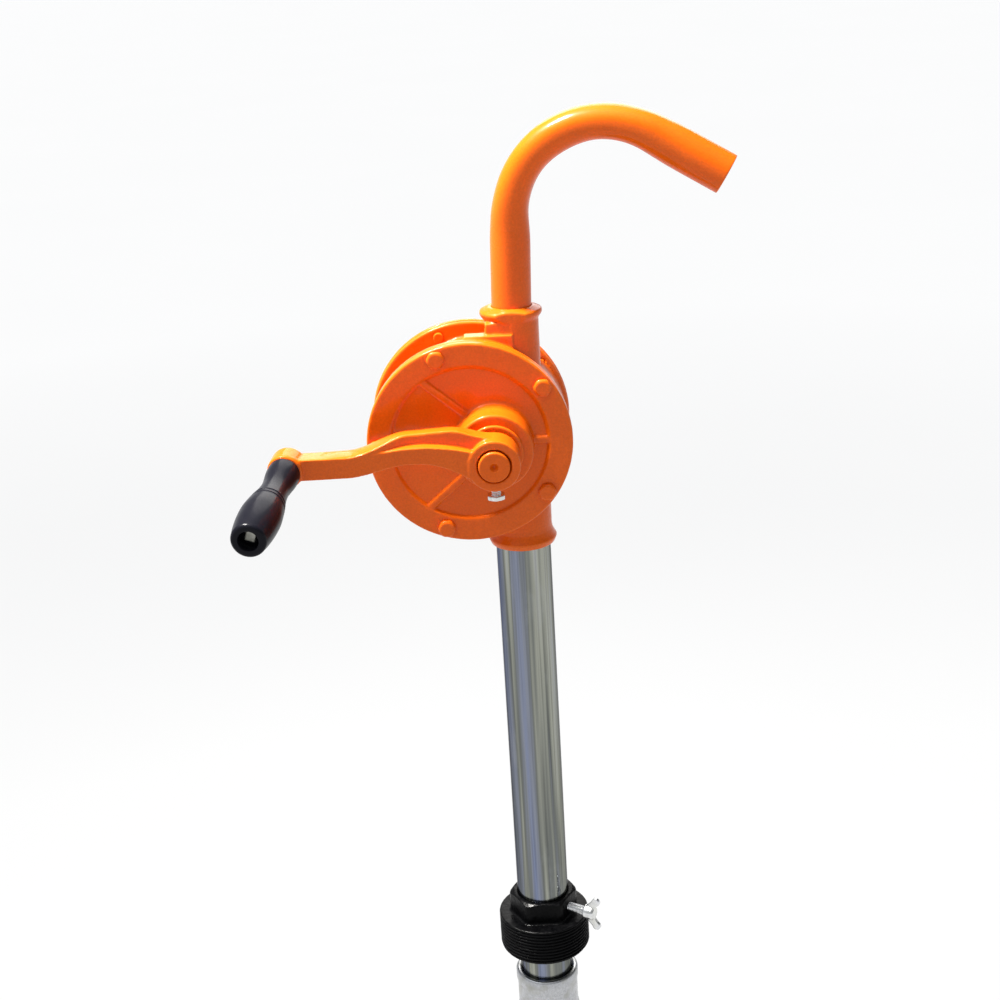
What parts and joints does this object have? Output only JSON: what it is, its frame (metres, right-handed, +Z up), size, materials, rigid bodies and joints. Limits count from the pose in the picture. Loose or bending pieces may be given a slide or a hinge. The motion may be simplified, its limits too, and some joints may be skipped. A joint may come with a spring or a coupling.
{
  "type": "drum barrel pump",
  "caption": "Hand-cranked rotary vane pump on a long suction tube, held in a threaded bung adapter, with a hooked pouring spout.",
  "frame": {"origin": "on the suction tube's axis, at the top of the bung thread", "axes": "+Z up along the tube towards the pump, crank shaft along Y with the crank in front (-Y), crank arm to the left (-X), spout to the right (+X)"},
  "size_m": [0.2817, 0.2045, 1.2772],
  "materials": {
    "orange_paint": "glossy orange enamel over rough iron castings",
    "orange_steel": "glossy orange enamel over steel",
    "black_iron": "glossy black enamel over a rough casting",
    "bare_iron": "turned, oiled",
    "zinc_tube": "bright zinc plate, drawn tube",
    "zinc": "bright zinc plate",
    "steel": "turned steel",
    "bronze": "plain bronze",
    "fibre": "compressed fibre sheet",
    "packing": "graphite cord",
    "grip_plastic": "turned black plastic, semi-gloss"
  },
  "bodies": {
    "bung": {"bung_adapter": "black_iron"},
    "clamp_stud": {"wing_screw_stud": "zinc"},
    "clamp_wings": {"wing_screw_head": "zinc"},
    "mast": {"suction_tube_upper": "zinc_tube", "suction_tube_middle": "zinc_tube", "suction_tube_lower": "zinc_tube", "tube_coupling_upper": "zinc", "tube_coupling_lower": "zinc", "pump_casing": "orange_paint", "front_cover": "orange_paint", "rear_cover": "orange_paint", "front_gasket": "fibre", "rear_gasket": "fibre", "front_cover_bolts": "orange_steel", "rear_cover_bolts": "orange_steel", "front_bearing_bush": "bronze", "rear_bearing_bush": "bronze", "shaft_packing": "packing", "gland_nut": "orange_paint", "spout_pipe": "orange_steel"},
    "crank": {"drive_shaft": "steel", "rotor": "bare_iron", "rotor_key": "steel", "vane_springs": "steel", "crank_arm": "orange_paint", "crank_set_screw": "zinc", "grip_spindle": "zinc"},
    "vane_a": {"vane_upper": "bronze"},
    "vane_b": {"vane_lower": "bronze"},
    "grip": {"handle_grip": "grip_plastic"}
  },
  "joints": [
    {"name": "tube_height", "type": "slide", "parent": "bung", "child": "mast", "axis": [0, 0, 1], "range_m": [-0.245, 0.018]},
    {"name": "clamp_advance", "type": "slide", "parent": "bung", "child": "clamp_stud", "axis": [0.866, -0.5, 0], "range_m": [0, 0.004]},
    {"name": "clamp_turn", "type": "hinge", "parent": "clamp_stud", "child": "clamp_wings", "pos_m": [0.03, -0.01732, 0.0075], "axis": [0.866, -0.5, 0], "range_deg": [0, 1080]},
    {"name": "crank_spin", "type": "hinge", "parent": "mast", "child": "crank", "pos_m": [-0.0136, 0, 0.341], "axis": [0, 1, 0], "continuous": true},
    {"name": "vane_upper_slide", "type": "slide", "parent": "crank", "child": "vane_a", "axis": [0, 0, 1], "range_m": [0, 0.0065]},
    {"name": "vane_lower_slide", "type": "slide", "parent": "crank", "child": "vane_b", "axis": [0, 0, -1], "range_m": [0, 0.0065]},
    {"name": "grip_spin", "type": "hinge", "parent": "crank", "child": "grip", "pos_m": [-0.1316, -0.0726, 0.3442], "axis": [-0.1024, -0.9914, -0.0819], "continuous": true}
  ],
  "couplings": [
    {"joint": "clamp_advance", "follows": "clamp_turn", "m_per_rad": 0.00015915}
  ]
}
